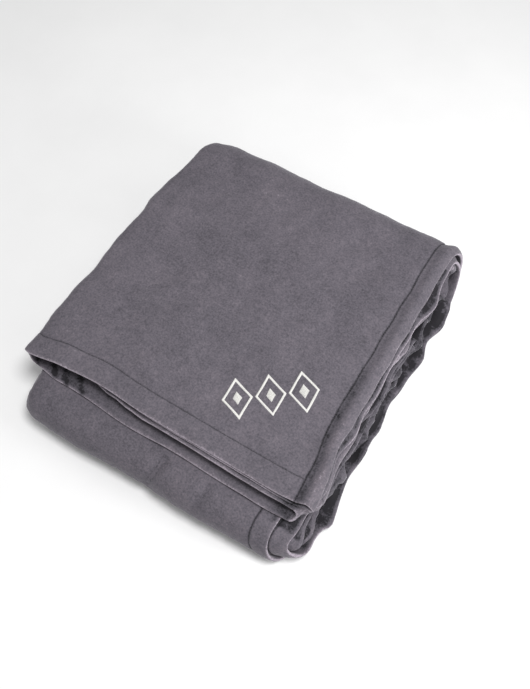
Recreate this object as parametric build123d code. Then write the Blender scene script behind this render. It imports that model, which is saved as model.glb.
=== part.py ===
from build123d import *
import os
from math import cos, pi, radians, sin

# A fleece throw, folded flat to twelve plies. It is first folded in half and in half again along
# its length (X), which gives a strip of four plies: ply 4 is the show side, joined to ply 1 round
# the outside of the -X edge, ply 3 is joined to ply 2 inside it, and ply 2 to ply 1 at the +X edge.
# The strip is then folded in thirds (Y): the front panel is laid over the middle one, and the top
# panel is brought over both of them from the back.
# Origin: centre of the underside. +X: the hemmed open side. -Y: the front fold. +Z: up.

# The throw, laid open
THROW_LENGTH = 1524.0        # finished length, four plies
THROW_WIDTH = 1270.0         # finished width, three panels
HEM = 28.0                   # from the finished edge to the line of stitching
STITCH_WIDTH = 0.8
STITCH_SINK = 0.6            # how deep the stitching is pulled in, on each face

# The folded stack
STACK_X = 387.0
STACK_Y = 464.0
PLY = 6.0                    # one thickness of brushed fleece at rest
PLY_GAP = 2.0                # air between two plies of a panel
PANEL_GAP = 5.0              # air between two panels
INNER_EDGE_INSET = 2.0       # ply 3 ends this far inside ply 4 at the open side
SETBACK = 56.0               # the show ply ends this far behind the front fold
STAGGER = 15.0               # ply 1 ends this far in front of ply 4 at the top panel's free end
JOIN = 0.5                   # the back fold keeps this much straight cloth at each end
HINGE_BEHIND = 20.0          # the top panel turns about a line this far behind the fold's middle

# The care label and the corner emblem
LABEL_WIDTH = 32.0
LABEL_LENGTH = 58.0
LABEL_THICKNESS = 0.5
LABEL_X = 120.0
EMBLEM_X = 89.0              # centre of the emblem
EMBLEM_SETBACK = 92.0        # from the show ply's free end to the centre of the emblem
EMBLEM_TURN = 37.0           # degrees, so that it reads squarely from the corner
EMBLEM_RAISE = 0.8
DIAMOND_WIDTH = 36.0
DIAMOND_HEIGHT = 52.0
DIAMOND_COUNT = 3
SATIN = 2.2                  # width of the satin stitch that draws a diamond

# Worked out from the above
PITCH = PLY + PLY_GAP
SLAB = 4 * PLY + 3 * PLY_GAP
STACK_Z = 3 * SLAB + 2 * PANEL_GAP
MIDDLE_Z = SLAB / 2
FRONT_Z = MIDDLE_Z + SLAB + PANEL_GAP
TOP_Z = STACK_Z - SLAB / 2
FRONT_AXIS_Z = (MIDDLE_Z + FRONT_Z) / 2
BACK_AXIS_Z = STACK_Z / 2

OUTER_BEND = 1.5 * PITCH     # middle of ply 4 and ply 1 round the -X edge
INNER_BEND = 0.5 * PITCH     # middle of the tight folds
X_OPEN = STACK_X / 2
X_BEND = -STACK_X / 2 + OUTER_BEND + PLY / 2
X_STITCH = X_OPEN - HEM
FREE_PLIES = (X_OPEN - X_BEND) + (X_OPEN - INNER_EDGE_INSET - X_BEND)
BEND_LENGTH = pi * (OUTER_BEND + 2 * INNER_BEND)
X_TURN = X_BEND + (THROW_LENGTH - FREE_PLIES - BEND_LENGTH) / 2

Y_FRONT = -STACK_Y / 2 + FRONT_AXIS_Z
Y_BACK = STACK_Y / 2 - BACK_AXIS_Z
Y_FREE = -STACK_Y / 2 + SETBACK
SHOW_BENDS = pi * (FRONT_AXIS_Z - PLY / 2 + BACK_AXIS_Z - PLY / 2)
Y_HIDDEN = Y_FRONT + THROW_WIDTH - SHOW_BENDS - (Y_BACK - Y_FRONT) - (Y_BACK - Y_FREE)


def ply_height(ply, up):
    """Height of the middle of a ply above the middle of its panel; up is -1 with ply 4 below."""
    return (ply - 2.5) * PITCH * up


def strip(x_from, x_to, height, thickness):
    """Section of a flat stretch of cloth."""
    return Pos((x_from + x_to) / 2, height) * Rectangle(x_to - x_from, thickness)


def half_ring(radius, x, height, side, thickness):
    """Section of a bend; side is +1 for the half towards +X."""
    reach = radius + thickness
    ring = Circle(radius + thickness / 2) - Circle(radius - thickness / 2)
    keep = Pos(side * reach / 2, 0) * Rectangle(reach, 2 * reach)
    return Pos(x, height) * (ring & keep)


def cloth_section(up, thickness=PLY):
    """Section across the four plies, up to the stitching of the two free side hems."""
    x_end = X_STITCH - STITCH_WIDTH / 2
    section = half_ring(OUTER_BEND, X_BEND, 0, -1, thickness)
    section += half_ring(INNER_BEND, X_BEND, 0, -1, thickness)
    section += half_ring(INNER_BEND, X_TURN, ply_height(1.5, up), 1, thickness)
    for ply in (1, 2):
        section += strip(X_BEND, X_TURN, ply_height(ply, up), thickness)
    for ply in (3, 4):
        section += strip(X_BEND, x_end, ply_height(ply, up), thickness)
    return section


def hem_section(ply, up):
    """Section of the side hem of ply 3 or ply 4."""
    x_edge = X_OPEN if ply == 4 else X_OPEN - INNER_EDGE_INSET
    return strip(X_STITCH + STITCH_WIDTH / 2, x_edge, ply_height(ply, up), PLY)


def stitch_section(up):
    """Section of the stitching along the side hems of plies 3 and 4."""
    x_from, x_to = X_STITCH - STITCH_WIDTH / 2, X_STITCH + STITCH_WIDTH / 2
    thickness = PLY - 2 * STITCH_SINK
    lines = [strip(x_from, x_to, ply_height(ply, up), thickness) for ply in (3, 4)]
    return lines[0] + lines[1]


def panel(section, y_from, y_to, z_middle):
    """A section carried straight along Y."""
    place = Plane(origin=(0, y_to, z_middle), x_dir=(1, 0, 0), z_dir=(0, -1, 0))
    return extrude(place * section, amount=y_to - y_from)


def bend(section, y_axis, z_axis, z_middle, side):
    """A section carried half a turn about an X axis; side is +1 for a fold at the back."""
    place = Plane(origin=(0, y_axis, z_middle), x_dir=(1, 0, 0), z_dir=(0, -1, 0))
    axis = Axis((0, y_axis, z_axis), (side, 0, 0))
    return revolve(place * section, axis, revolution_arc=180)


def lower_run(section_below, section_above, y_hidden):
    """Middle panel, front fold and front panel in one length of cloth, up to y_hidden."""
    middle = panel(section_below, Y_FRONT, Y_BACK - JOIN, MIDDLE_Z)
    fold = bend(section_below, Y_FRONT, FRONT_AXIS_Z, MIDDLE_Z, -1)
    front = panel(section_above, Y_FRONT, y_hidden, FRONT_Z)
    return middle + fold + front


def back_run(section_below, section_above):
    """The cloth that goes round the back fold."""
    below = panel(section_below, Y_BACK - JOIN, Y_BACK, MIDDLE_Z)
    fold = bend(section_below, Y_BACK, BACK_AXIS_Z, MIDDLE_Z, 1)
    above = panel(section_above, Y_BACK - JOIN, Y_BACK, TOP_Z)
    return below + fold + above


def top_run(section, start, stop):
    """Top panel between two slanted planes, start and stop mm back from its free end."""
    whole = panel(section, Y_FREE - STAGGER - PLY, Y_BACK - JOIN, TOP_Z)
    slant = Polyline(
        (Y_FREE + start, STACK_Z), (Y_FREE - STAGGER + start, STACK_Z - SLAB),
        (Y_FREE - STAGGER + stop, STACK_Z - SLAB), (Y_FREE + stop, STACK_Z), close=True)
    band = extrude(Plane.YZ * make_face(slant), amount=STACK_X, both=True)
    return whole & band


def diamond(width, height):
    half_width, half_height = width / 2, height / 2
    corners = [(half_width, 0), (0, half_height), (-half_width, 0), (0, -half_height)]
    return make_face(Polyline(*corners, close=True))


def corner_emblem():
    """A row of diamonds in satin stitch, each with a small filled one inside it."""
    figure = Sketch()
    for number in range(DIAMOND_COUNT):
        outline = diamond(DIAMOND_WIDTH, DIAMOND_HEIGHT)
        inset = diamond(DIAMOND_WIDTH - 3 * SATIN, DIAMOND_HEIGHT - 4.3 * SATIN)
        heart = diamond(DIAMOND_WIDTH / 3, DIAMOND_HEIGHT / 3)
        x = (number - (DIAMOND_COUNT - 1) / 2) * (DIAMOND_WIDTH + SATIN)
        figure += Pos(x, 0) * (outline - inset + heart)
    place = Location((EMBLEM_X, Y_FREE + EMBLEM_SETBACK, STACK_Z), (0, 0, EMBLEM_TURN))
    return extrude(place * figure, amount=EMBLEM_RAISE)


def care_label():
    """A plain satin label, caught in the stitching of the hidden end hem."""
    y_to = Y_HIDDEN - HEM - STITCH_WIDTH / 2
    corner = (LABEL_X, y_to, FRONT_Z + SLAB / 2)
    return Location(corner) * Box(
        LABEL_WIDTH, LABEL_LENGTH, LABEL_THICKNESS, align=(Align.CENTER, Align.MAX, Align.MIN))


def lower_parts():
    """Everything that stays put when the top panel is opened."""
    below, above = cloth_section(-1), cloth_section(1)
    stitching = cloth_section(1, PLY - 2 * STITCH_SINK)
    y_stitch = Y_HIDDEN - HEM
    half = STITCH_WIDTH / 2
    return {
        "lower_fleece": lower_run(below, above, y_stitch - half),
        "side_hem_outer_lower": lower_run(hem_section(4, -1), hem_section(4, 1), Y_HIDDEN),
        "side_hem_inner_lower": lower_run(hem_section(3, -1), hem_section(3, 1), Y_HIDDEN),
        "side_stitch_lower": lower_run(stitch_section(-1), stitch_section(1), Y_HIDDEN),
        "end_hem_hidden": panel(above, y_stitch + half, Y_HIDDEN, FRONT_Z),
        "end_stitch_hidden": panel(stitching, y_stitch - half, y_stitch + half, FRONT_Z),
        "care_label": care_label(),
    }


def back_parts():
    """The cloth that bends as the top panel is opened."""
    return {
        "back_fold_fleece": back_run(cloth_section(-1), cloth_section(1)),
        "side_hem_outer_back": back_run(hem_section(4, -1), hem_section(4, 1)),
        "side_hem_inner_back": back_run(hem_section(3, -1), hem_section(3, 1)),
        "side_stitch_back": back_run(stitch_section(-1), stitch_section(1)),
    }


def top_parts():
    """The panel that opens, with the emblem on its show ply."""
    cloth = cloth_section(1)
    stitching = cloth_section(1, PLY - 2 * STITCH_SINK)
    half = STITCH_WIDTH / 2
    return {
        "top_fleece": top_run(cloth, HEM + half, STACK_Y),
        "side_hem_outer_top": top_run(hem_section(4, 1), 0, STACK_Y),
        "side_hem_inner_top": top_run(hem_section(3, 1), 0, STACK_Y),
        "side_stitch_top": top_run(stitch_section(1), 0, STACK_Y),
        "end_hem_top": top_run(cloth, 0, HEM - half),
        "end_stitch_top": top_run(stitching, HEM - half, HEM + half),
        "corner_emblem": corner_emblem(),
    }


def main():
    os.makedirs("parts", exist_ok=True)
    for name, shape in {**lower_parts(), **back_parts(), **top_parts()}.items():
        export_step(shape, f"parts/{name}.step")
    print(f"stack {STACK_X:.1f} x {STACK_Y:.1f} x {STACK_Z:.1f} mm")
    print(f"top panel turns about y {Y_BACK + HINGE_BEHIND:.1f}, z {BACK_AXIS_Z:.1f} mm")
    print(f"ply 2 turns into ply 1 at x {X_TURN:.1f} mm, hidden end at y {Y_HIDDEN:.1f} mm")


main()
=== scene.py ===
import math

import bpy
import numpy as np
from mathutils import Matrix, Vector


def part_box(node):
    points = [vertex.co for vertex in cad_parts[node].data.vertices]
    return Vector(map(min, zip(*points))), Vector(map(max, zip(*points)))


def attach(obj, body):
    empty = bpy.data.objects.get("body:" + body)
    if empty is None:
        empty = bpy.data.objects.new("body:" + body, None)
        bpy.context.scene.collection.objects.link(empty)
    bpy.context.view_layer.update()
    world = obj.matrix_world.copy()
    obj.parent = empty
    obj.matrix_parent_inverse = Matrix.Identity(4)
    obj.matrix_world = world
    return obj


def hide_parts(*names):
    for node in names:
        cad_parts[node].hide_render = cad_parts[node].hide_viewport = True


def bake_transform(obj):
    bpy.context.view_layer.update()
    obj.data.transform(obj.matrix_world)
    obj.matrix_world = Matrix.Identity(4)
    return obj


# A hemmed fleece throw, folded to twelve plies. The cloth is one sheet. It is described by
# stations, which are places along the section across the four plies of a panel, and by rows,
# which are places along the strip of four plies: front panel, front fold, middle panel, back
# fold, top panel. Numpy arrays are in millimetres in the row frame, and meshes are in metres.

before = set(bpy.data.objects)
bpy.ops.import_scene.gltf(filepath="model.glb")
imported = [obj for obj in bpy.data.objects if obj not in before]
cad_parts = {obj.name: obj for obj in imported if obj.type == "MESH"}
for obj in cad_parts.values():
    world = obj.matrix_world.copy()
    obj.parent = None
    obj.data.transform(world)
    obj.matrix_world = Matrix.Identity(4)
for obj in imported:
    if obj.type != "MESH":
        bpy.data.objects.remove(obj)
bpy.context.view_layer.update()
MM = 1000.0


def cad_box(node):
    low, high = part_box(node)
    return np.array(low) * MM, np.array(high) * MM


HEM_LOW, HEM_HIGH = cad_box("side_hem_outer_top")
SEAM_LOW, SEAM_HIGH = cad_box("side_stitch_top")
TOP_LOW, TOP_HIGH = cad_box("top_fleece")
LOWER_LOW, LOWER_HIGH = cad_box("lower_fleece")
BACK_HIGH = cad_box("back_fold_fleece")[1]
END_LOW = cad_box("end_hem_top")[0]
HIDDEN_HIGH = cad_box("end_hem_hidden")[1]
LABEL_LOW, LABEL_HIGH = cad_box("care_label")
EMBLEM_LOW, EMBLEM_HIGH = cad_box("corner_emblem")

# Places and sizes of the folded stack
X_OPEN = HEM_HIGH[0]
X_SEAM = (SEAM_LOW[0] + SEAM_HIGH[0]) / 2
HEM = X_OPEN - X_SEAM
STACK_TOP = TOP_HIGH[2]
SLAB = TOP_HIGH[2] - TOP_LOW[2]
CAD_PLY = HEM_HIGH[2] - HEM_LOW[2]
PITCH = (SLAB - CAD_PLY) / 3
LOWER_TOP = LOWER_HIGH[2]
X_BEND = TOP_LOW[0] + 1.5 * PITCH + CAD_PLY / 2
X_TURN = TOP_HIGH[0] - PITCH / 2 - CAD_PLY / 2
Y_FRONT = LOWER_LOW[1] + LOWER_TOP / 2
Y_BACK = BACK_HIGH[1] - STACK_TOP / 2
Y_FREE = HEM_LOW[1]
STAGGER = Y_FREE - END_LOW[1]
Y_HIDDEN = HIDDEN_HIGH[1]
INNER_INSET = 2.0

# The cloth
CLOTH = 3.8              # thickness of one ply
HEM_PUFF = 1.2           # how much thicker a hem is, at its fullest
SEAM_PINCH = 0.55        # share of the thickness that the side stitching pulls in
END_PINCH = 0.35         # the same at the ends
SEAM_SPREAD = 1.2        # half width of that dip
HEM_SQUEEZE = 0.81       # a side hem curves over, so it is narrower seen from above
END_SQUEEZE = 0.95       # the same for the free end's hem
RIM = 2.2                # the finished edges are rounded over this distance
CREASE = 4.2             # depth of the creases in the front fold
LINING_DENT = 2.0        # depth of the small folds in the lining of the open end
LINING_FOLDS = ((-180, 1.0), (-154, 0.9), (-137, 0.7), (-114, 0.5))   # place and strength
STITCH_PITCH = 3.4
STITCH_LENGTH = 2.5
STITCH_RADIUS = 0.34

# Positions along the strip, in mm of cloth, which the uneven edges follow
LENGTH_FRONT = Y_HIDDEN - Y_FRONT
LENGTH_FOLD = math.pi * LOWER_TOP / 4
LENGTH_MIDDLE = Y_BACK - Y_FRONT
LENGTH_BACK = math.pi * STACK_TOP / 3
ALONG_NOSE = LENGTH_FRONT + LENGTH_FOLD / 2
ALONG_MIDDLE = LENGTH_FRONT + LENGTH_FOLD
ALONG_BACK = ALONG_MIDDLE + LENGTH_MIDDLE
ALONG_TOP = ALONG_BACK + LENGTH_BACK


# ---- smooth seeded unevenness

def smoothstep(t):
    t = np.clip(t, 0.0, 1.0)
    return t * t * (3 - 2 * t)


def ripple(seed, wavelength, count=18):
    """A smooth field over x, y that repeats each run, with a spread of about 1."""
    random = np.random.default_rng(seed)
    heading = random.uniform(0, 2 * math.pi, count)
    number = 2 * math.pi / (wavelength * random.uniform(0.7, 1.5, count))
    phase = random.uniform(0, 2 * math.pi, count)

    def field(x, y):
        total = 0.0
        for h, k, p in zip(heading, number, phase):
            total = total + np.cos(k * (math.cos(h) * x + math.sin(h) * y) + p)
        return total * math.sqrt(2 / count)

    return field


def wander(seed, wavelength, count=9):
    """A smooth line that repeats each run, with a spread of about 1."""
    random = np.random.default_rng(seed)
    number = 2 * math.pi / (wavelength * random.uniform(0.6, 1.7, count))
    phase = random.uniform(0, 2 * math.pi, count)

    def line(along):
        total = 0.0
        for k, p in zip(number, phase):
            total = total + np.cos(k * along + p)
        return total * math.sqrt(2 / count)

    return line


CRUMPLE_FIELDS = [ripple(200 + n, 24) for n in range(8)]
GAP_FIELDS = [ripple(100 + number, 62) for number in range(12)]
TOP_SWELL = ripple(7, 150)
TOP_DENT = ripple(8, 48)
LOWER_SWELL = ripple(9, 130)
OPEN_SIDE_SWELL = ripple(10, 70)
NAP_FIELDS = (ripple(11, 9, 24), ripple(12, 22, 24))


def bump(place, centre, reach):
    return np.exp(-((place - centre) / reach) ** 2)


# ---- the stack of plies

def front_flare(y):
    """0 over most of the top panel to 1 near its free end, where its side hem turns out."""
    return smoothstep((-75 - y) / 70)


def hem_relief(x, y):
    """Rise and fall across the top panel's side hem: a dip at the seam, a crest, a curved edge."""
    past_seam = x - (X_SEAM - 2.5 + 9 * front_flare(y))
    approach = -3.0 * smoothstep((past_seam + 60) / 60)
    fullness = 2.4 + 4.0 * smoothstep((-10 - y) / 80)
    crest = (fullness + 0.8) * bump(past_seam, 16, 8) - 1.2 * bump(past_seam, 3, 5)
    return approach + crest - 6 * smoothstep((past_seam - 12) / 12)


def top_height(x, y):
    """Height of the show side over the whole stack."""
    smooth_side = smoothstep((X_BEND + 45 - x) / 60)
    free_end = smoothstep((Y_FREE + 60 - y) / 70)
    unsupported = smoothstep((y - Y_HIDDEN + 20) / 60) * smoothstep((Y_BACK + 10 - y) / 60)
    swell = 1.1 * TOP_SWELL(x, y) + 0.45 * TOP_DENT(x, y)
    sag = 4 * smooth_side + 2 * free_end + 3 * unsupported
    return STACK_TOP - 1.0 + swell + hem_relief(x, y) - sag


def lower_height(x, y):
    """Height of the front panel's upper face."""
    open_side = smoothstep((x - (X_OPEN - 80)) / 90)
    smooth_side = smoothstep((X_BEND + 40 - x) / 60)
    swell = LOWER_SWELL(x, y) + 1.6 * open_side * OPEN_SIDE_SWELL(x, y)
    return LOWER_TOP - 1.0 + swell - 9 * open_side - 3 * smooth_side


def stack_heights(x, y):
    """Heights of the middles of the twelve plies, from the bottom, as an array of 12.

    At its free end the top panel gapes between its first and second plies, and its upper
    three plies lie close together.
    """
    toward_open = smoothstep((x - (X_OPEN - 110)) / 110)
    gape = smoothstep((-105 - y) / 65) * (1 - 0.6 * smoothstep((x - 150) / 30))
    crumpled = 0.42 * smoothstep((x - (X_OPEN - 50)) / 50)
    shares = [np.exp((0.45 + 0.75 * toward_open) * wide(x, y) + crumpled * fine(x, y))
              for wide, fine in zip(GAP_FIELDS[:8], CRUMPLE_FIELDS)]
    shares += [np.exp((0.45 - 0.25 * toward_open) * wide(x, y)) for wide in GAP_FIELDS[8:]]
    shares[8] = shares[8] * np.exp(1.1 * toward_open * smoothstep((y + 130) / 60))
    shares[9] = shares[9] ** (1 - 0.7 * gape) * np.exp(2.2 * gape)
    shares[10] = shares[10] * np.exp(-0.3 * gape)
    shares[11] = shares[11] * np.exp(-0.3 * gape)
    lower_air = lower_height(x, y) - 8 * CLOTH
    upper_air = top_height(x, y) - lower_height(x, y) - 4 * CLOTH
    lower_total = sum(shares[1:8])
    upper_total = sum(shares[8:12])
    heights = []
    level = np.zeros_like(x)
    for number in range(12):
        if number >= 8:
            level = level + upper_air * shares[number] / upper_total
        elif number > 0:
            level = level + lower_air * shares[number] / lower_total
        heights.append(level + CLOTH / 2)
        level = level + CLOTH
    return np.array(heights)


def layer(panel, ply):
    """Place of a ply in the stack, from the bottom."""
    return {"middle": 4 - ply, "front": 3 + ply, "top": 7 + ply}[panel]


# ---- stations across the strip
# A station is (x, ply it leaves, ply it goes to, angle turned, side of the bend).

EDGE_STEPS = [0, 0.25, 0.8, 1.6, 2.6, 4, 6.5, 9.5, 13]
SEAM_STEPS = [0, 0.7, 1.4, 2.4, 4.0, 6.0, 8.5, 12.0]


def flat_stations(x_from, x_to, ply, spacing):
    count = max(2, round(abs(x_to - x_from) / spacing) + 1)
    return [(x, ply, ply, 0.0, 0) for x in np.linspace(x_from, x_to, count)]


def bend_stations(x, ply_from, ply_to, side, count):
    angles = np.linspace(0, math.pi, count)[1:-1]
    return [(x, ply_from, ply_to, angle, side) for angle in angles]


def hem_places(width):
    """Distances in from a finished edge, as far as the seam."""
    return EDGE_STEPS + [width - step for step in SEAM_STEPS[::-1]]


def side_edge(ply):
    return X_OPEN if ply == 4 else X_OPEN - INNER_INSET


def on_plies(stations, test):
    """True where a test of the plies left and gone to holds, as a column of the grid."""
    return np.array([test(s[1], s[2]) for s in stations])[:, None]


def strip_stations():
    """Round the strip from ply 4's finished edge to ply 3's, and where the two seams are."""
    hem_4 = [(side_edge(4) - place, 4, 4, 0.0, 0) for place in hem_places(HEM)]
    hem_3 = [(side_edge(3) - place, 3, 3, 0.0, 0) for place in hem_places(HEM - INNER_INSET)]
    cloth = [(X_SEAM - step, 4, 4, 0.0, 0) for step in SEAM_STEPS[1:]]
    cloth += flat_stations(X_SEAM - 16, X_BEND, 4, 4)
    cloth += bend_stations(X_BEND, 4, 1, -1, 15)
    cloth += flat_stations(X_BEND, X_BEND + 74, 1, 3.5)[:-1]
    cloth += flat_stations(X_BEND + 74, X_TURN, 1, 7)
    cloth += bend_stations(X_TURN, 1, 2, 1, 11)
    cloth += flat_stations(X_TURN, X_BEND, 2, 8)
    cloth += bend_stations(X_BEND, 2, 3, -1, 10)
    cloth += flat_stations(X_BEND, X_SEAM - 16, 3, 8)
    cloth += [(X_SEAM - step, 3, 3, 0.0, 0) for step in SEAM_STEPS[:0:-1]]
    stations = hem_4 + cloth + hem_3[::-1]
    return stations, len(hem_4) - 1, len(stations) - len(hem_3)


# ---- rows along the strip
# A row is (kind, value): a place along Y on a panel, an angle turned round a fold, or a
# distance in from a finished end.

def on_rows(rows, *kinds):
    """True on the rows of these kinds, as a row of the grid."""
    return np.array([kind in kinds for kind, _ in rows])[None, :]


def straight_rows(panel, y_from, y_to, spacing):
    count = max(2, round(abs(y_to - y_from) / spacing) + 1)
    return [(panel, y) for y in np.linspace(y_from, y_to, count)]


def fold_rows(fold, count):
    return [(fold, angle) for angle in np.linspace(0, math.pi, count)]


def end_rows(kind):
    """The end hem, and the cloth just past its seam."""
    rows = [(kind, place) for place in hem_places(HEM)]
    return rows + [(kind, HEM + step) for step in SEAM_STEPS[1:]]


def strip_rows():
    """From the hidden end to the free end, and where seams and folds are."""
    hidden, free = end_rows("hidden_end"), end_rows("free_end")[::-1]
    rows = hidden + straight_rows("front", Y_HIDDEN - HEM - 18, Y_FRONT + 4, 6)
    rows += fold_rows("nose", 29) + straight_rows("middle", Y_FRONT + 4, Y_BACK - 4, 6)
    back_start = len(rows)
    rows += fold_rows("back", 29)
    back_stop = len(rows) - 1
    rows += straight_rows("top", Y_BACK - 4, Y_FREE + HEM + 16, 4.5) + free
    seam_hidden = len(hem_places(HEM)) - 1
    return rows, seam_hidden, back_start, back_stop, len(rows) - len(hem_places(HEM))


def along_strip(kind, value):
    """Cloth length from the hidden end to a row."""
    if kind == "hidden_end":
        return value
    if kind == "front":
        return Y_HIDDEN - value
    if kind == "nose":
        return LENGTH_FRONT + value / math.pi * LENGTH_FOLD
    if kind == "middle":
        return ALONG_MIDDLE + value - Y_FRONT
    if kind == "back":
        return ALONG_BACK + value / math.pi * LENGTH_BACK
    if kind == "top":
        return ALONG_TOP + Y_BACK - value
    return ALONG_TOP + Y_BACK - Y_FREE - value


def place_along(along):
    """Plain Y of a place along the strip."""
    marks = [0, LENGTH_FRONT, ALONG_MIDDLE, ALONG_BACK, ALONG_TOP, ALONG_TOP + Y_BACK - Y_FREE]
    return np.interp(along, marks, [Y_HIDDEN, Y_FRONT, Y_FRONT, Y_BACK, Y_BACK, Y_FREE])


# ---- uneven edges

EDGE_WANDER = {4: wander(31, 75), 3: wander(32, 65), 1: wander(33, 60)}
LEFT_WANDER = wander(41, 140)
END_WANDER = ripple(51, 130)
CRINKLE = ripple(52, 26)
PUCKER = wander(61, 7)   # small gathers along the seams


def lower_reach(y):
    """How far the lower plies stand out past their plain place on the open side."""
    corner = smoothstep((-90 - y) / 50) * smoothstep((y + 168) / 14)
    reach = 18 + 7 * corner + 3 * bump(y, -20, 22) - 1.5 * bump(y, 30, 25)
    return reach + 6.5 * bump(y, 92, 28) + 5.5 * bump(y, 162, 26)


def edge_shift(ply, along):
    """How far the open side of a ply stands out from its plain place.

    The outer plies draw back where they go round the front fold.
    """
    y = place_along(along)
    on_top = smoothstep((along - ALONG_BACK) / LENGTH_BACK)
    wave = EDGE_WANDER[ply](along)
    front = front_flare(y)
    rims = smoothstep((-40 - y) / 30) * smoothstep((y + 172) / 22)
    on_floor = smoothstep((along - LENGTH_FRONT) / LENGTH_FOLD)
    reach = lower_reach(y) * (0.4 + 0.6 * on_floor) + 7 * bump(y, -197, 14) * on_floor ** 2
    if ply == 4:
        low = reach - 1 + 1.5 * wave - 31 * bump(along, LENGTH_FRONT - 10, 105)
        high = -2.5 + 9 * front + 0.4 * wave
    elif ply == 3:
        low = reach + 1 + 1.5 * wave - 11 * bump(along, LENGTH_FRONT, 50)
        high = 3.5 + 8.5 * bump(y, 132, 26) + 3 * front + 2.5 * rims + 0.8 * wave
    else:
        low = 7 + 3 * on_floor + 2.5 * wave
        high = 4 - 10 * smoothstep((-150 - y) / 22) + 4 * bump(y, 125, 32) + 3 * rims + 1.2 * wave
    return low * (1 - on_top) + high * on_top


def smooth_side_shift(along):
    """How far the smooth side of the stack stands in from its plain place."""
    on_top = smoothstep((along - ALONG_BACK) / LENGTH_BACK)
    front = 1 - smoothstep((along - LENGTH_FRONT) / LENGTH_FOLD)
    low = 3 + 5 * front + (3 + 10 * front) * bump(along, ALONG_NOSE, 75)
    high = -4 * bump(along, ALONG_TOP + Y_BACK - Y_FREE, 45) - 3.5 * bump(place_along(along), 0, 45)
    back_corner = 8 * bump(along, ALONG_BACK + 0.7 * LENGTH_BACK, 65)
    return low * (1 - on_top) + high * on_top + back_corner + LEFT_WANDER(along)


def edge_ply(station):
    """The ply whose uneven edge a station follows: 4, 3, or 1 for plies 1 and 2."""
    ply_a, ply_b = station[1:3]
    if ply_a == ply_b:
        return ply_a if ply_a >= 3 else 1
    return 1 if min(ply_a, ply_b) <= 1 else 3


def open_side_weight(stations):
    """0 on the smooth side to 1 at the seam and beyond."""
    base = np.array([s[0] for s in stations])[:, None]
    return np.clip((base - X_BEND) / (X_SEAM - X_BEND), 0, 1)


def past_seam(stations):
    """0 at the seam to 1 at the edge of a side hem."""
    hem = [max(0.0, s[0] - X_SEAM) / HEM if s[1] == s[2] and s[1] >= 3 else 0.0 for s in stations]
    return np.array(hem)[:, None]


def plan_shift(stations, along):
    """Shift in x of each station at each place along the strip."""
    weight = open_side_weight(stations)
    y = place_along(along)
    curl = -5 * bump(y, -113, 26) * smoothstep((along - ALONG_TOP) / 50)
    shifts = {ply: edge_shift(ply, along) for ply in (4, 3, 1)}
    own = np.array([edge_ply(s) for s in stations])[:, None] + 0 * along
    shift = np.select([own == 4, own == 3], [shifts[4], shifts[3]], shifts[1])
    shift = weight * shift + (1 - weight) * smooth_side_shift(along)
    return shift + past_seam(stations) * curl


# ---- from cloth to place

def plain_x(stations):
    """X of each station; the side hems curve over, so they are narrower seen from above."""
    base = np.array([s[0] for s in stations])
    hem = np.array([s[1] == s[2] and s[1] >= 3 for s in stations])
    squeezed = X_SEAM + (base - X_SEAM) * HEM_SQUEEZE
    return np.where(hem & (base > X_SEAM), squeezed, base)[:, None]


def section_points(panel, stations, y, along):
    """Middle of the cloth at stations x rows; y and along are arrays of that shape."""
    x = plain_x(stations) + plan_shift(stations, along)
    ply_a = np.array([s[1] for s in stations])
    ply_b = np.array([s[2] for s in stations])
    angle = np.array([s[3] for s in stations])[:, None]
    side = np.array([s[4] for s in stations])[:, None]
    heights = stack_heights(x, y)
    column, row = np.indices(y.shape)
    z_a = heights[np.array([layer(panel, p) for p in ply_a])[:, None], column, row]
    z_b = heights[np.array([layer(panel, p) for p in ply_b])[:, None], column, row]
    z = (z_a + z_b) / 2 + (z_a - z_b) / 2 * np.cos(angle)
    x = x + side * np.abs(z_a - z_b) / 2 * np.sin(angle)
    return np.stack([x, y, z], axis=-1)


def end_depth(stations):
    """0 for the top ply to 1 for the bottom ply of a panel."""
    level_a = np.array([4.0 - s[1] for s in stations]) / 3
    level_b = np.array([4.0 - s[2] for s in stations]) / 3
    angle = np.array([s[3] for s in stations])
    return (level_a + level_b) / 2 + (level_a - level_b) / 2 * np.cos(angle)


def free_end(stations):
    """Y of the finished end of the top panel at each station; the bottom ply reaches furthest."""
    x = np.array([s[0] for s in stations])
    depth = end_depth(stations)
    uneven = (0.7 + 1.2 * depth) * END_WANDER(x, 40 * depth)
    left_corner = 11 * smoothstep((X_BEND + 40 - x) / 45) * (depth - 0.40)
    open_corner = 3 * smoothstep((x - 140) / 45)
    drawn_in = 6 * (1 - depth) * bump(x, -88, 42)
    inner = np.array([s[1] in (2, 3) and s[2] in (2, 3) for s in stations])
    tucked = inner * smoothstep((20 - x) / 170) * (12 + 1.5 * CRINKLE(x, 50 * depth))
    plain = Y_FREE + 1.5 - (STAGGER + 1) * depth ** 3
    return plain + uneven + left_corner + open_corner + drawn_in + tucked


def row_places(kind, values, stations):
    """Panel and y for straight rows, as stations x rows."""
    values = np.array(values)[None, :]
    flat = np.zeros((len(stations), 1))
    if kind == "free_end":
        return "top", free_end(stations)[:, None] + values * END_SQUEEZE
    if kind == "hidden_end":
        return "front", Y_HIDDEN - values + flat
    if kind == "top":
        stretch = (Y_BACK - values) / (Y_BACK - (Y_FREE + HEM + 16))
        start = free_end(stations)[:, None] + (HEM + 16) * END_SQUEEZE
        return "top", Y_BACK - (Y_BACK - start) * stretch
    return kind, values + flat


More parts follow.
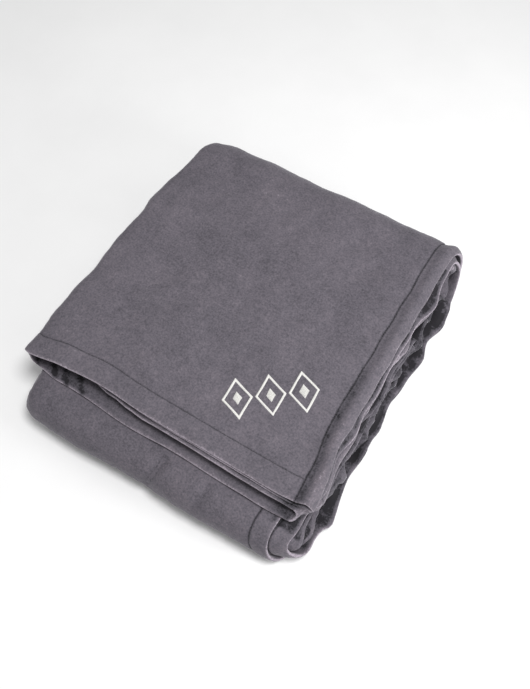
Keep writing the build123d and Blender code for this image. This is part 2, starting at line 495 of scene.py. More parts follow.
def fold_points(fold, stations, angles):
    """The cloth round the front fold or the back fold."""
    y_axis = Y_FRONT if fold == "nose" else Y_BACK
    panels = ("front", "middle") if fold == "nose" else ("middle", "top")
    ends = [along_strip(fold, 0.0), along_strip(fold, math.pi)]
    y = np.full((len(stations), 1), y_axis)
    first = section_points(panels[0], stations, y, ends[0] + 0 * y)
    last = section_points(panels[1], stations, y, ends[1] + 0 * y)
    turn = np.array(angles)[None, :]
    mix = (1 - np.cos(turn)) / 2
    points = first * (1 - mix[..., None]) + last * mix[..., None]
    along = along_strip(fold, turn) + 0 * y
    plain = plan_shift(stations, ends[0] + 0 * y) * (1 - mix)
    plain = plain + plan_shift(stations, ends[1] + 0 * y) * mix
    points[..., 0] += plan_shift(stations, along) - plain
    radius = np.abs(first - last)[..., 2] / 2
    outward = -1 if fold == "nose" else 1
    points[..., 1] += outward * radius * fold_reach(fold, points[..., 0]) * np.sin(turn)
    return points


def fold_reach(fold, x):
    """How far a fold bulges, against a round one. Its corners are rounded in plan."""
    smooth_corner = np.clip((X_BEND + 28 - x) / 40, 0, 1.1)
    if fold == "nose":
        lump = 0.08 * bump(x, -95, 42) + 0.03 * bump(x, 60, 40)
        return 1.02 + lump - 0.72 * smooth_corner ** 2
    return 1.0 + 0.06 * bump(x, 150, 60) - 0.30 * smooth_corner ** 2


def middle_points(stations, rows):
    """Middle of the cloth for a list of rows, in order."""
    blocks = []
    start = 0
    while start < len(rows):
        kind = rows[start][0]
        stop = start
        while stop < len(rows) and rows[stop][0] == kind:
            stop += 1
        values = [value for _, value in rows[start:stop]]
        if kind in ("nose", "back"):
            blocks.append(fold_points(kind, stations, values))
        else:
            panel, y = row_places(kind, values, stations)
            along = along_strip(kind, np.array(values))[None, :] + 0 * y
            blocks.append(section_points(panel, stations, y, along))
        start = stop
    return np.concatenate(blocks, axis=1)


# ---- thickness and surface

def edge_distances(stations, rows):
    """Distance in from the side edge and from the end edge, large where there is none."""
    side = [side_edge(s[1]) - s[0] if s[1] == s[2] and s[1] >= 3 else 1e3 for s in stations]
    end = [value if kind in ("free_end", "hidden_end") else 1e3 for kind, value in rows]
    flat = np.zeros((len(stations), len(rows)))
    return np.array(side)[:, None] + flat, np.array(end)[None, :] + flat


def hem_widths(stations):
    width = [HEM - INNER_INSET if s[1] == s[2] == 3 else HEM for s in stations]
    return np.array(width)[:, None]


def hem_profile(distance, width, pull):
    """Puff, seam pinch and edge rounding at a distance in from a finished edge."""
    inside = np.clip(distance / width, 0, 1)
    puff = HEM_PUFF * np.sin(math.pi * inside ** 0.7) ** 0.8
    pinch = 1 - pull * np.exp(-((distance - width) / SEAM_SPREAD) ** 2)
    rounded = np.sqrt(1 - (1 - np.clip(distance / RIM, 0.012, 1)) ** 2)
    return puff, pinch, rounded


def thickness(points, side, end, width):
    """Thickness of the cloth. The side seam runs to the end; the end seam stops at it."""
    puff_side, pinch_side, round_side = hem_profile(side, width, SEAM_PINCH)
    puff_end, pinch_end, round_end = hem_profile(end, HEM, END_PINCH)
    pinch_end = np.where(side < width - 0.1, 1, pinch_end)
    plain = CLOTH + np.maximum(puff_side, puff_end)
    pucker = PUCKER(points[..., 1] + points[..., 0])
    near = np.exp(-np.minimum(np.abs(side - width), np.abs(end - HEM)) / 6)
    plain = plain + 0.32 * pucker * near
    return plain * pinch_side * pinch_end * round_side * round_end


def normals(points):
    """Unit normals on the show side."""
    normal = np.cross(np.gradient(points, axis=0), np.gradient(points, axis=1))
    length = np.linalg.norm(normal, axis=-1, keepdims=True)
    return normal / np.maximum(length, 1e-9)


def creases(points, stations, rows):
    """Dents pressed into the outside of the front fold."""
    x, z = points[..., 0], points[..., 2]
    outside = on_plies(stations, lambda a, b: a == b == 4)
    first = bump(x, 12 + 0.3 * (z - 45), 6.5) * smoothstep((z - 22) / 14)
    second = 0.8 * bump(x, 76 + 0.2 * (z - 45), 6.5) * smoothstep((z - 34) / 12)
    return -CREASE * (first + second) * outside * on_rows(rows, "nose")


def lining_folds(points, stations, rows):
    """Small slanting folds pressed into the lining of the top panel's open end."""
    place = points[..., 0] + 0.75 * (points[..., 1] - Y_FREE)
    outer = on_plies(stations, lambda a, b: min(a, b) == 1)
    total = sum(strength * bump(place, x, 3.4) for x, strength in LINING_FOLDS)
    return total * outer * on_rows(rows, "top", "free_end")


def cloth_surfaces(points, normal, thick, dent, lining):
    """Show side and reverse side of the cloth, with the nap's small unevenness."""
    fine, coarse = NAP_FIELDS
    x, y, z = points[..., 0], points[..., 1], points[..., 2]
    nap = 0.10 * fine(x + 3 * z, y - 2 * z) + 0.22 * coarse(x - z, y + 2 * z)
    nap = nap * np.clip(thick / CLOTH, 0, 1)
    show = points + normal * (thick / 2 + nap + dent)[..., None]
    reverse = points - normal * (thick / 2 - LINING_DENT * lining * thick / CLOTH)[..., None]
    show[..., 2] = np.maximum(show[..., 2], 0.0)
    reverse[..., 2] = np.maximum(reverse[..., 2], 0.0)
    return show, reverse


def sheltered(points, rows):
    """1 on the panels under the top panel, behind the front fold; there the painted shade is deeper
    and the painted rim highlights dimmer.
    """
    below = on_rows(rows, "hidden_end", "front", "middle")
    return below * smoothstep((points[..., 1] + 165) / 45)


def painted_fold_shade(points, normal, side, end, stations, rows):
    """Painted shade on the show side and the reverse side where they lie in the folds and gaps of
    the open side.
    """
    near = ~on_rows(rows, "nose", "back") * smoothstep((points[..., 0] - X_SEAM + 25) / 30)
    flat = on_plies(stations, lambda a, b: a == b)
    outer = on_plies(stations, lambda a, b: min(a, b) == 1)
    inner = on_plies(stations, lambda a, b: {a, b} <= {2, 3})
    fourth = on_plies(stations, lambda a, b: a == b == 4)
    on_top = on_rows(rows, "top", "free_end")
    low = sheltered(points, rows)
    # Painted shade on plies that lie inside the open side's gaps, deeper under the top panel.
    inside = np.maximum((0.5 + 0.25 * low) * flat * smoothstep((side - 2) / 5), 0.30 * low)
    # Painted shade on faces that turn away from above, as the undersides of the plies.
    turned = [smoothstep((0.2 - up * normal[..., 2]) / 0.7) for up in (1, -1)]
    turned[0] = turned[0] * np.where(outer, 0.25, 1)
    show = near * np.where(fourth & on_top, turned[0], np.maximum(turned[0], inside))
    reverse = near * np.maximum(turned[1], inside)
    # Painted shade in the mouth of the top panel's open end.
    mouth = 0.20 * on_rows(rows, "free_end") * smoothstep((end - 0.6) / 3)
    mouth = mouth * smoothstep((-30 - points[..., 0]) / 90)
    # Painted shade in the dip beside the top panel's side seam.
    dip = 0.36 * on_top * fourth * bump(HEM - side, 6, 5) * smoothstep((30 - points[..., 1]) / 70)
    return np.maximum(show, dip + mouth * inner), np.maximum(reverse, mouth * ~fourth)


def painted_rim_highlights(points, side, end, stations, rows):
    """Painted highlight: how much paler the nap is painted at the finished edges, on the open
    side's turns and along the top panel's hem crest.
    """
    above = points[..., 2] > LOWER_TOP
    edge = np.exp(-np.minimum(side, end) / 1.2) * np.where(on_rows(rows, "nose"), 0.7, 1)
    # The painted highlight is dimmer under the top panel.
    edge = edge * (1 - 0.6 * sheltered(points, rows))
    # Painted highlight on the rims of the open side's turns.
    turning = np.array([max(0.0, s[4]) * math.sin(s[3]) for s in stations])[:, None]
    # Painted highlight along the crest of the top panel's side hem.
    crest = front_flare(points[..., 1] - 30) * bump(HEM - side, 18, 6)
    return np.maximum(np.maximum(edge, 0.45 * turning ** 4 * above), 0.20 * crest * above)


def seam_shade(side, end, width):
    """Painted shade in the stitched grooves: 1 along the side seams and less along the end seams.
    """
    seam_side = np.exp(-((side - width) / 1.2) ** 2)
    seam_end = np.where(side < width - 0.1, 0, 0.6 * np.exp(-((end - HEM) / 0.8) ** 2))
    return np.maximum(seam_side, seam_end)


class Throw:
    """The whole cloth on one grid of stations x rows, which the pieces are cut from."""

    def __init__(self):
        self.stations, self.seam_4, self.seam_3 = strip_stations()
        marks = strip_rows()
        self.rows, self.seam_hidden, self.back_start, self.back_stop, self.seam_free = marks
        points = middle_points(self.stations, self.rows)
        side, end = edge_distances(self.stations, self.rows)
        width = hem_widths(self.stations)
        thick = thickness(points, side, end, width)
        self.normal = normals(points)
        dent = creases(points, self.stations, self.rows)
        lining = lining_folds(points, self.stations, self.rows)
        self.show, self.reverse = cloth_surfaces(points, self.normal, thick, dent, lining)
        turn = [v / math.pi if k == "back" else 0.0 for k, v in self.rows]
        self.turn = np.array(turn)[None, :] + 0 * thick
        # Painted highlights on the rims.
        self.rim_highlight = painted_rim_highlights(points, side, end, self.stations, self.rows)
        show, reverse = painted_fold_shade(points, self.normal, side, end, self.stations, self.rows)
        # Painted shade in the creases of the front fold, and in the small folds of the open end's
        # lining.
        show = np.maximum(show, 0.30 * (-dent / CREASE) ** 4)
        self.painted_shade = (show, np.clip(reverse + 0.8 * lining, 0, 1))
        self.seam = seam_shade(side, end, width)

    def piece(self, name, first, last, start, stop):
        """A closed piece between two stations and two rows, all included."""
        cut = (slice(first, last + 1), slice(start, stop + 1))
        show, reverse = self.show[cut], self.reverse[cut]
        count_a, count_b = show.shape[:2]
        vertices = np.concatenate([show.reshape(-1, 3), reverse.reshape(-1, 3)])
        faces = np.concatenate([
            grid_faces(count_a, count_b, 0, False),
            grid_faces(count_a, count_b, count_a * count_b, True),
            rim_faces(count_a, count_b),
        ])
        # The painted rim highlight, the painted seam shade and the painted fold shade go on the
        # mesh as attributes.
        rim_highlight, seam = np.tile(self.rim_highlight[cut].ravel(), 2), np.tile(self.seam[cut].ravel(), 2)
        painted_shade = np.concatenate([face[cut].ravel() for face in self.painted_shade])
        piece = mesh_object(name, vertices, faces, {"rim_highlight": rim_highlight, "seam": seam, "painted_shade": painted_shade})
        return piece, np.tile(self.turn[cut].ravel(), 2)

    def side_line(self, station, start, stop):
        """Points, normals and turns along a side seam."""
        cut = (station, slice(start, stop + 1))
        return self.show[cut], self.normal[cut], self.turn[cut]

    def end_line(self, row):
        """The same along an end seam, between the side seams."""
        cut = (slice(self.seam_4 + 2, self.seam_3 - 1), row)
        return self.show[cut], self.normal[cut], self.turn[cut]


# ---- meshes

def grid_faces(count_a, count_b, offset, flip):
    index = np.arange(count_a * count_b).reshape(count_a, count_b) + offset
    quads = np.stack([index[:-1, :-1], index[1:, :-1], index[1:, 1:], index[:-1, 1:]], -1)
    quads = quads.reshape(-1, 4)
    return quads[:, ::-1] if flip else quads


def rim_faces(count_a, count_b):
    """Quads that close the cloth all round."""
    index = np.arange(count_a * count_b).reshape(count_a, count_b)
    loop = np.concatenate([index[:-1, 0], index[-1, :-1], index[:0:-1, -1], index[0, :0:-1]])
    after = np.roll(loop, -1)
    back = count_a * count_b
    return np.stack([loop, loop + back, after + back, after], -1)


def mesh_object(name, vertices, faces, attributes=None):
    """A mesh piece; vertices in mm."""
    mesh = bpy.data.meshes.new(name)
    faces = [list(face) for face in faces]
    mesh.from_pydata((np.asarray(vertices) / MM).tolist(), [], faces)
    mesh.validate()
    for key, values in (attributes or {}).items():
        layer_ = mesh.attributes.new(key, "FLOAT", "POINT")
        layer_.data.foreach_set("value", np.asarray(values, np.float32).ravel())
    mesh.shade_smooth()
    mesh.set_sharp_from_angle(angle=math.radians(70))
    piece = bpy.data.objects.new(name, mesh)
    bpy.context.scene.collection.objects.link(piece)
    return piece


def bend_with_fold(piece, turns):
    """Lays a piece's vertices out by their turn round the back fold, bakes its transform, then puts
    the folded vertices back.
    """
    mesh = piece.data
    folded = np.zeros(len(mesh.vertices) * 3, np.float32)
    mesh.vertices.foreach_get("co", folded)
    laid_out = np.zeros((len(mesh.vertices), 3), np.float32)
    laid_out[:, 1] = turns
    mesh.vertices.foreach_set("co", laid_out.ravel())
    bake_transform(piece)
    mesh.vertices.foreach_set("co", folded)
    mesh.update()


# ---- stitching

def resample(line, extra, pitch):
    """Points every pitch mm along a line, with extra columns carried along."""
    steps = np.linalg.norm(np.diff(line, axis=0), axis=1)
    travelled = np.concatenate([[0], np.cumsum(steps)])
    places = np.arange(pitch / 2, travelled[-1], pitch)
    table = np.concatenate([line, extra], axis=1)
    return np.stack([np.interp(places, travelled, column) for column in table.T], -1)


def tube_faces(base, rings, around, flip):
    """Faces of a closed tube whose rings of vertices start at base."""
    faces = []
    for ring in range(rings - 1):
        for step in range(around):
            a, b = base + ring * around + step, base + ring * around + (step + 1) % around
            faces.append([a, b, b + around, a + around] if flip else [a, a + around, b + around, b])
    last = base + (rings - 1) * around
    caps = [list(range(base, base + around)), list(range(last + around - 1, last - 1, -1))]
    return faces + [cap[::-1] if flip else cap for cap in caps]


def stitch_rows(lines):
    """Thread capsules along seam lines. A line is (points, normals, turns)."""
    around, rings = 6, [(-0.5, 0.35), (-0.36, 0.9), (0.0, 1.0), (0.36, 0.9), (0.5, 0.35)]
    random = np.random.default_rng(71)
    vertices, faces, turns = [], [], []
    for points, normal, turn in lines:
        table = resample(points, np.concatenate([normal, turn[:, None]], 1), STITCH_PITCH)
        ahead = np.gradient(table[:, :3], axis=0)
        for row, direction in zip(table, ahead):
            direction = direction / np.linalg.norm(direction)
            up = row[3:6] - direction * (row[3:6] @ direction)
            up = up / np.linalg.norm(up)
            across = np.cross(up, direction)
            direction = direction + across * random.normal(0, 0.06)
            base = len(vertices)
            for place, width in rings:
                sink = -0.22 * (2 * abs(place)) ** 2
                centre = row[:3] + direction * place * STITCH_LENGTH + up * (0.12 + sink)
                for step in range(around):
                    a = 2 * math.pi * step / around
                    offset = (across * math.cos(a) + up * math.sin(a)) * STITCH_RADIUS * width
                    vertices.append(centre + offset)
                    turns.append(row[6])
            faces += tube_faces(base, len(rings), around, False)
    return np.array(vertices), faces, np.array(turns)


def stitched(name, lines):
    vertices, faces, turns = stitch_rows(lines)
    piece = mesh_object(name, vertices, faces)
    return piece, turns


# ---- materials

def new_material(name):
    material = bpy.data.materials.new(name)
    material.use_nodes = True
    tree = material.node_tree
    tree.nodes.clear()
    output = tree.nodes.new("ShaderNodeOutputMaterial")
    shader = tree.nodes.new("ShaderNodeBsdfPrincipled")
    tree.links.new(shader.outputs[0], output.inputs[0])
    return material, tree, shader


def noise_node(tree, coordinates, scale, detail, roughness=0.5):
    node = tree.nodes.new("ShaderNodeTexNoise")
    node.inputs["Scale"].default_value = scale
    node.inputs["Detail"].default_value = detail
    node.inputs["Roughness"].default_value = roughness
    tree.links.new(coordinates, node.inputs["Vector"])
    return node.outputs["Fac"]


def math_node(tree, operation, first, second):
    node = tree.nodes.new("ShaderNodeMath")
    node.operation = operation
    for socket, value in zip(node.inputs, (first, second)):
        if isinstance(value, (int, float)):
            socket.default_value = value
        else:
            tree.links.new(value, socket)
    return node.outputs[0]


def attribute_node(tree, name):
    node = tree.nodes.new("ShaderNodeAttribute")
    node.attribute_name = name
    return node.outputs["Fac"]


def ramp_node(tree, factor, stops):
    node = tree.nodes.new("ShaderNodeValToRGB")
    ramp = node.color_ramp
    while len(ramp.elements) < len(stops):
        ramp.elements.new(0.5)
    for element, (place, colour) in zip(ramp.elements, stops):
        element.position = place
        element.color = (*colour, 1)
    tree.links.new(factor, node.inputs[0])
    return node.outputs[0]


def add_bump(tree, shader, height, strength, distance):
    node = tree.nodes.new("ShaderNodeBump")
    node.inputs["Strength"].default_value = strength
    node.inputs["Distance"].default_value = distance
    tree.links.new(height, node.inputs["Height"])
    tree.links.new(node.outputs[0], shader.inputs["Normal"])


def shade(colour, factor):
    return tuple(channel * factor for channel in colour)


FLEECE = (0.125, 0.114, 0.134)
THREAD = (0.055, 0.051, 0.060)
EMBROIDERY = (0.80, 0.79, 0.76)
LABEL_DARK, LABEL_LIGHT = (0.40, 0.39, 0.37), (0.58, 0.57, 0.54)
PAPER_DARK, PAPER_LIGHT = (0.93, 0.93, 0.93), (0.96, 0.96, 0.96)
RIM_HIGHLIGHT_TONE = 0.62         # how much paler the painted rim highlight makes the nap
SEAM_GROOVE_SHADE = 0.46         # how much darker the painted groove shade makes the cloth along a seam


def fleece_material():
    """Brushed fleece: clouded by the lie of the nap, speckled, with painted highlights on the edges
    and painted shade in the folds and along the seams.
    """
    material, tree, shader = new_material("fleece")
    place = tree.nodes.new("ShaderNodeTexCoord").outputs["Object"]
    speckle = noise_node(tree, place, 420, 2, 0.6)
    tufts = noise_node(tree, place, 1150, 2, 0.7)
    parts = [
        (noise_node(tree, place, 11, 2), 0.26), (noise_node(tree, place, 38, 3, 0.55), 0.28),
        (noise_node(tree, place, 150, 2, 0.6), 0.26), (speckle, 0.78), (tufts, 0.36),
    ]
    # Painted highlight on the rims, and painted shade along the seam grooves.
    rim_highlight = math_node(tree, "MULTIPLY", attribute_node(tree, "rim_highlight"), RIM_HIGHLIGHT_TONE)
    seam = math_node(tree, "MULTIPLY", attribute_node(tree, "seam"), SEAM_GROOVE_SHADE)
    # Painted shade: a noise that breaks the painted fold shade into dark flecks like the shadows of
    # crumpled cloth.
    shadow_flecks = math_node(tree, "MULTIPLY", noise_node(tree, place, 62, 3, 0.6), 3.6)
    shadow_flecks = math_node(tree, "SUBTRACT", shadow_flecks, 0.95)
    painted_shade = math_node(tree, "MULTIPLY", attribute_node(tree, "painted_shade"), shadow_flecks)
    tone = math_node(tree, "SUBTRACT", math_node(tree, "SUBTRACT", rim_highlight, seam), painted_shade)
    for noise, weight in parts:
        tone = math_node(tree, "ADD", tone, math_node(tree, "MULTIPLY", noise, weight))
    tone = math_node(tree, "SUBTRACT", tone, sum(weight for _, weight in parts) / 2 - 0.5)
    warm = (FLEECE[0] * 1.03, FLEECE[1], FLEECE[2] * 0.98)
    cool = (FLEECE[0] * 0.97, FLEECE[1], FLEECE[2])
    # The darkest stops carry the painted shade and the palest the painted rim highlights.
    stops = [(0.0, shade(cool, 0.20)), (0.16, shade(cool, 0.50)), (0.50, FLEECE),
             (0.72, shade(warm, 1.32)), (1.0, shade(warm, 3.0))]
    tree.links.new(ramp_node(tree, tone, stops), shader.inputs["Base Color"])
    height = math_node(tree, "ADD", math_node(tree, "MULTIPLY", tufts, 0.35),
                       math_node(tree, "MULTIPLY", speckle, 0.65))
    add_bump(tree, shader, height, 0.55, 0.0011)
    shader.inputs["Roughness"].default_value = 0.95
    shader.inputs["Specular IOR Level"].default_value = 0.18
    shader.inputs["Sheen Weight"].default_value = 0.3
    shader.inputs["Sheen Roughness"].default_value = 0.38
    shader.inputs["Sheen Tint"].default_value = (0.86, 0.84, 0.90, 1)
    return material


def thread_material(name, colour, scale):
    """Twisted thread."""
    material, tree, shader = new_material(name)
    place = tree.nodes.new("ShaderNodeTexCoord").outputs["Object"]
    twist = noise_node(tree, place, scale, 2, 0.6)
    stops = [(0.30, shade(colour, 0.72)), (0.70, shade(colour, 1.18))]
    tree.links.new(ramp_node(tree, twist, stops), shader.inputs["Base Color"])
    add_bump(tree, shader, twist, 0.4, 0.0002)
    shader.inputs["Roughness"].default_value = 0.55
    shader.inputs["Specular IOR Level"].default_value = 0.35
    return material


def label_material():
    """Woven satin tape with fine cross ribs."""
    material, tree, shader = new_material("label_satin")
    place = tree.nodes.new("ShaderNodeTexCoord").outputs["Object"]
    ribs = tree.nodes.new("ShaderNodeTexWave")
    ribs.bands_direction = "Y"
    ribs.inputs["Scale"].default_value = 420
    ribs.inputs["Distortion"].default_value = 0.6
    tree.links.new(place, ribs.inputs["Vector"])
    clouds = noise_node(tree, place, 60, 3)
    tone = math_node(tree, "ADD", math_node(tree, "MULTIPLY", ribs.outputs["Fac"], 0.3),
                     math_node(tree, "MULTIPLY", clouds, 0.7))
    stops = [(0.25, LABEL_DARK), (0.75, LABEL_LIGHT)]
    tree.links.new(ramp_node(tree, tone, stops), shader.inputs["Base Color"])
    add_bump(tree, shader, ribs.outputs["Fac"], 0.3, 0.0002)
    shader.inputs["Roughness"].default_value = 0.38
    return material


def paper_material():
    """The studio's pale sweep."""
    material, tree, shader = new_material("studio_paper")
    place = tree.nodes.new("ShaderNodeTexCoord").outputs["Object"]
    grain = noise_node(tree, place, 9, 3)
    stops = [(0.3, PAPER_DARK), (0.7, PAPER_LIGHT)]
    tree.links.new(ramp_node(tree, grain, stops), shader.inputs["Base Color"])
    shader.inputs["Roughness"].default_value = 0.9
    return material


# ---- emblem and label

EMBLEM_TURN = math.radians(37)
DIAMOND_COUNT = 3
DIAMOND_WIDTH = 36.0
DIAMOND_HEIGHT = 52.0
SATIN = 2.2
SATIN_PITCH = 0.62
SATIN_RADIUS = 0.30


def show_surface(x, y):
    """Height and slope of the top panel's show side."""
    def height(px, py):
        px, py = np.array([[px]]), np.array([[py]])
        return stack_heights(px, py)[11][0, 0] + CLOTH / 2
    z = height(x, y)
    step = 1.0
    slope_x = (height(x + step, y) - z) / step
    slope_y = (height(x, y + step) - z) / step
    normal = np.array([-slope_x, -slope_y, 1.0])
    return z, normal / np.linalg.norm(normal)


def diamond_corners(width, height, x):
    return [np.array(c) for c in
            ((x + width / 2, 0.0), (x, height / 2), (x - width / 2, 0.0), (x, -height / 2))]


def satin_stitches():
    """Each stitch as (start, end) in the emblem's plane: outlines, then filled hearts."""
    stitches = []
    for number in range(DIAMOND_COUNT):
        x = (number - (DIAMOND_COUNT - 1) / 2) * (DIAMOND_WIDTH + SATIN)
        outer = diamond_corners(DIAMOND_WIDTH, DIAMOND_HEIGHT, x)
        inner = diamond_corners(DIAMOND_WIDTH - 3 * SATIN, DIAMOND_HEIGHT - 4.3 * SATIN, x)
        for corner in range(4):
            after = (corner + 1) % 4
            count = int(np.linalg.norm(outer[after] - outer[corner]) / SATIN_PITCH)
            for t in (np.arange(count) + 0.5) / count:
                start = outer[corner] * (1 - t) + outer[after] * t
                stop = inner[corner] * (1 - t) + inner[after] * t
                stitches.append((start, stop))
        half_width, half_height = DIAMOND_WIDTH / 6, DIAMOND_HEIGHT / 6
        count = int(2 * half_height / SATIN_PITCH)
        for t in (np.arange(count) + 0.5) / count * 2 - 1:
            reach = half_width * (1 - abs(t))
            ends = [np.array([x + way * reach, t * half_height]) for way in (-1, 1)]
            stitches.append(tuple(ends))
    return stitches


def build_emblem():
    """Satin stitch, one low arch of thread for each stitch."""
    centre = (EMBLEM_LOW + EMBLEM_HIGH) / 2
    along = np.array([math.cos(EMBLEM_TURN), math.sin(EMBLEM_TURN)])
    across = np.array([-along[1], along[0]])
    profile = [(0.0, -0.3), (0.12, 0.25), (0.5, 0.55), (0.88, 0.25), (1.0, -0.3)]
    around = 6
    vertices, faces = [], []
    for start, stop in satin_stitches():
        base = len(vertices)
        flat_a = centre[:2] + along * start[0] + across * start[1]
        flat_b = centre[:2] + along * stop[0] + across * stop[1]
        middle = (flat_a + flat_b) / 2
        z, normal = show_surface(*middle)
        run = np.array([*(flat_b - flat_a), 0.0])
        run[2] = -(normal[0] * run[0] + normal[1] * run[1]) / normal[2]
        sideways = np.cross(normal, run / np.linalg.norm(run))
        for place, rise in profile:
            point = np.array([*middle, z]) + run * (place - 0.5) + normal * rise
            for step in range(around):
                a = 2 * math.pi * step / around
                ring = sideways * math.cos(a) + normal * math.sin(a)
                vertices.append(point + ring * SATIN_RADIUS)
        faces += tube_faces(base, len(profile), around, True)
    return mesh_object("corner_emblem_stitches", np.array(vertices), faces)


def build_label():
    """A folded loop of satin tape that lies on the front panel, caught in the hidden seam."""
    width, length = LABEL_HIGH[0] - LABEL_LOW[0], LABEL_HIGH[1] - LABEL_LOW[1]
    across = np.linspace(LABEL_LOW[0], LABEL_HIGH[0], 13)
    down = np.linspace(LABEL_HIGH[1], LABEL_LOW[1], 25)
    x, y = np.meshgrid(across, down, indexing="ij")
    curl = 1.1 * ((x - (LABEL_LOW[0] + width / 2)) / width) ** 2
    lift = 0.9 * ((LABEL_HIGH[1] - y) / length) ** 2 + 0.25 * np.sin(y / 9)
    z = stack_heights(x, y)[7] + CLOTH / 2 + 0.5 + curl + np.abs(lift)
    points = np.stack([x, y, z], -1)
    normal = -normals(points)
    upper, under = points + normal * 0.2, points - normal * 0.2
    count_a, count_b = x.shape
    faces = np.concatenate([
        grid_faces(count_a, count_b, 0, True),
        grid_faces(count_a, count_b, count_a * count_b, False),
        rim_faces(count_a, count_b)[:, ::-1],
    ])
    vertices = np.concatenate([upper.reshape(-1, 3), under.reshape(-1, 3)])
    return mesh_object("care_label_tape", vertices, faces)


# ---- the pieces

def dress(piece, material):
    piece.data.materials.append(material)


def dress_cloth(pieces, nodes, fleece):
    """Gives every piece the fleece material and hides its CAD part."""
    for number, (piece, node) in enumerate(zip(pieces, nodes)):
        dress(piece, fleece)
        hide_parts(node)


def build_threads(name, node, lines, material):
    piece, turns = stitched(name, lines)
    dress(piece, material)
    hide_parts(node)
    return piece, turns


def build_lower(throw, fleece, thread):
    """Front panel, front fold and middle panel."""
    start, stop, last = throw.seam_hidden, throw.back_start, len(throw.stations) - 1
    cloth, _ = throw.piece("lower_cloth", throw.seam_4, throw.seam_3, start, stop)
    hem_4, _ = throw.piece("lower_outer_side_hem", 0, throw.seam_4, 0, stop)
    hem_3, _ = throw.piece("lower_inner_side_hem", throw.seam_3, last, 0, stop)
    hem_end, _ = throw.piece("hidden_end_hem", throw.seam_4, throw.seam_3, 0, start)
    nodes = ("lower_fleece", "side_hem_outer_lower", "side_hem_inner_lower", "end_hem_hidden")
    dress_cloth((cloth, hem_4, hem_3, hem_end), nodes, fleece)
    lines = [throw.side_line(s, 2, stop) for s in (throw.seam_4, throw.seam_3)]
    side, _ = build_threads("lower_side_stitches", "side_stitch_lower", lines, thread)
    end_lines = [throw.end_line(start)]
    end, _ = build_threads("hidden_end_stitches", "end_stitch_hidden", end_lines, thread)
    for piece in (cloth, hem_4, hem_3, hem_end, side, end):
        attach(piece, "lower_stack")


def build_back(throw, fleece, thread):
    """The back fold: its cloth, side hems and side stitches."""
    start, stop, last = throw.back_start, throw.back_stop, len(throw.stations) - 1
    cloth, turns = throw.piece("back_fold_cloth", throw.seam_4, throw.seam_3, start, stop)
    hem_4, turns_4 = throw.piece("back_outer_side_hem", 0, throw.seam_4, start, stop)
    hem_3, turns_3 = throw.piece("back_inner_side_hem", throw.seam_3, last, start, stop)
    nodes = ("back_fold_fleece", "side_hem_outer_back", "side_hem_inner_back")
    dress_cloth((cloth, hem_4, hem_3), nodes, fleece)
    lines = [throw.side_line(s, start, stop) for s in (throw.seam_4, throw.seam_3)]
    threads, turns_t = build_threads("back_side_stitches", "side_stitch_back", lines, thread)
    for piece, turn in ((cloth, turns), (hem_4, turns_4), (hem_3, turns_3), (threads, turns_t)):
        bend_with_fold(piece, turn)


def build_top(throw, fleece, thread, emblem_thread):
    """The panel that opens."""
    start, stop, last = throw.back_stop, len(throw.rows) - 1, len(throw.stations) - 1
    seam = throw.seam_free
    cloth, _ = throw.piece("top_cloth", throw.seam_4, throw.seam_3, start, seam)
    hem_4, _ = throw.piece("top_outer_side_hem", 0, throw.seam_4, start, stop)
    hem_3, _ = throw.piece("top_inner_side_hem", throw.seam_3, last, start, stop)
    hem_end, _ = throw.piece("top_end_hem", throw.seam_4, throw.seam_3, seam, stop)
    nodes = ("top_fleece", "side_hem_outer_top", "side_hem_inner_top", "end_hem_top")
    dress_cloth((cloth, hem_4, hem_3, hem_end), nodes, fleece)
    lines = [throw.side_line(s, start, stop - 2) for s in (throw.seam_4, throw.seam_3)]
    side, _ = build_threads("top_side_stitches", "side_stitch_top", lines, thread)
    end, _ = build_threads("top_end_stitches", "end_stitch_top", [throw.end_line(seam)], thread)
    emblem = build_emblem()
    dress(emblem, emblem_thread)
    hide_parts("corner_emblem")
    for piece in (cloth, hem_4, hem_3, hem_end, side, end, emblem):
        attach(piece, "top_panel")


def build_care_label():
    label = build_label()
    dress(label, label_material())
    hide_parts("care_label")
    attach(label, "lower_stack")


# ---- studio

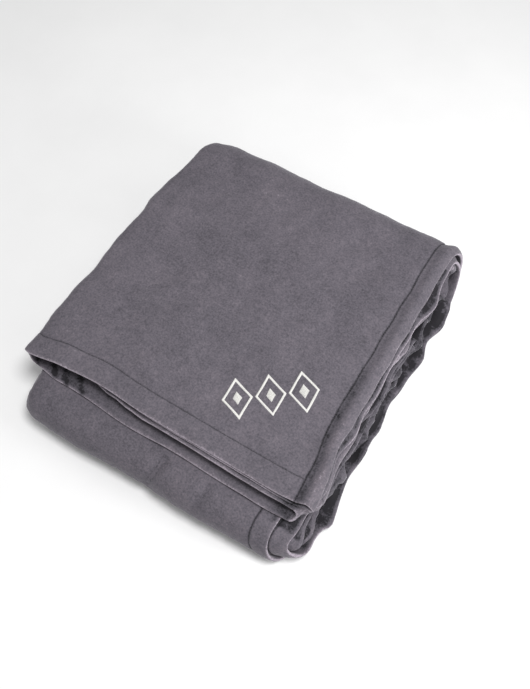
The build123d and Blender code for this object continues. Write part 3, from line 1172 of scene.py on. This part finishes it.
def build_floor():
    bpy.ops.mesh.primitive_plane_add(size=12, location=(0, 0, -0.0004))
    floor = bpy.context.object
    floor.name = "studio_floor"
    floor.data.materials.append(paper_material())


def area_light(name, place, target, size, power):
    data = bpy.data.lights.new(name, "AREA")
    data.shape = "DISK"
    data.size = size
    data.energy = power
    light = bpy.data.objects.new(name, data)
    bpy.context.scene.collection.objects.link(light)
    light.location = place
    light.rotation_euler = (Vector(target) - Vector(place)).to_track_quat("-Z", "Y").to_euler()


def build_lights():
    area_light("key", (0.48, -0.11, 1.75), (0, 0, 0.05), 0.6, 22)
    area_light("side", (0.95, 0.02, 0.42), (0.15, 0, 0.05), 0.35, 3.4)
    world = bpy.data.worlds.new("studio")
    bpy.context.scene.world = world
    world.use_nodes = True
    background = world.node_tree.nodes["Background"]
    background.inputs["Color"].default_value = (1, 1, 1, 1)
    background.inputs["Strength"].default_value = 0.43
    bpy.context.scene.view_settings.view_transform = "Standard"


CAMERA_AZIMUTH, CAMERA_ELEVATION = math.radians(31.05), math.radians(62.57)
CAMERA_PLACE = (0.2633, -0.3862, 0.8943)
CAMERA_LENS = 40


def build_camera():
    """Seen from the open front corner, well above the stack."""
    level = math.cos(CAMERA_ELEVATION)
    back = Vector((math.sin(CAMERA_AZIMUTH) * level, -math.cos(CAMERA_AZIMUTH) * level,
                   math.sin(CAMERA_ELEVATION)))
    data = bpy.data.cameras.new("camera")
    data.lens = CAMERA_LENS
    data.sensor_width = 36
    camera = bpy.data.objects.new("camera", data)
    bpy.context.scene.collection.objects.link(camera)
    camera.location = CAMERA_PLACE
    camera.rotation_euler = back.to_track_quat("Z", "Y").to_euler()
    bpy.context.scene.camera = camera


def build_all():
    fleece = fleece_material()
    thread = thread_material("sewing_thread", THREAD, 3500)
    emblem_thread = thread_material("embroidery_thread", EMBROIDERY, 2500)
    throw = Throw()
    build_lower(throw, fleece, thread)
    build_back(throw, fleece, thread)
    build_top(throw, fleece, thread, emblem_thread)
    build_care_label()
    build_floor()
    build_lights()
    build_camera()


build_all()
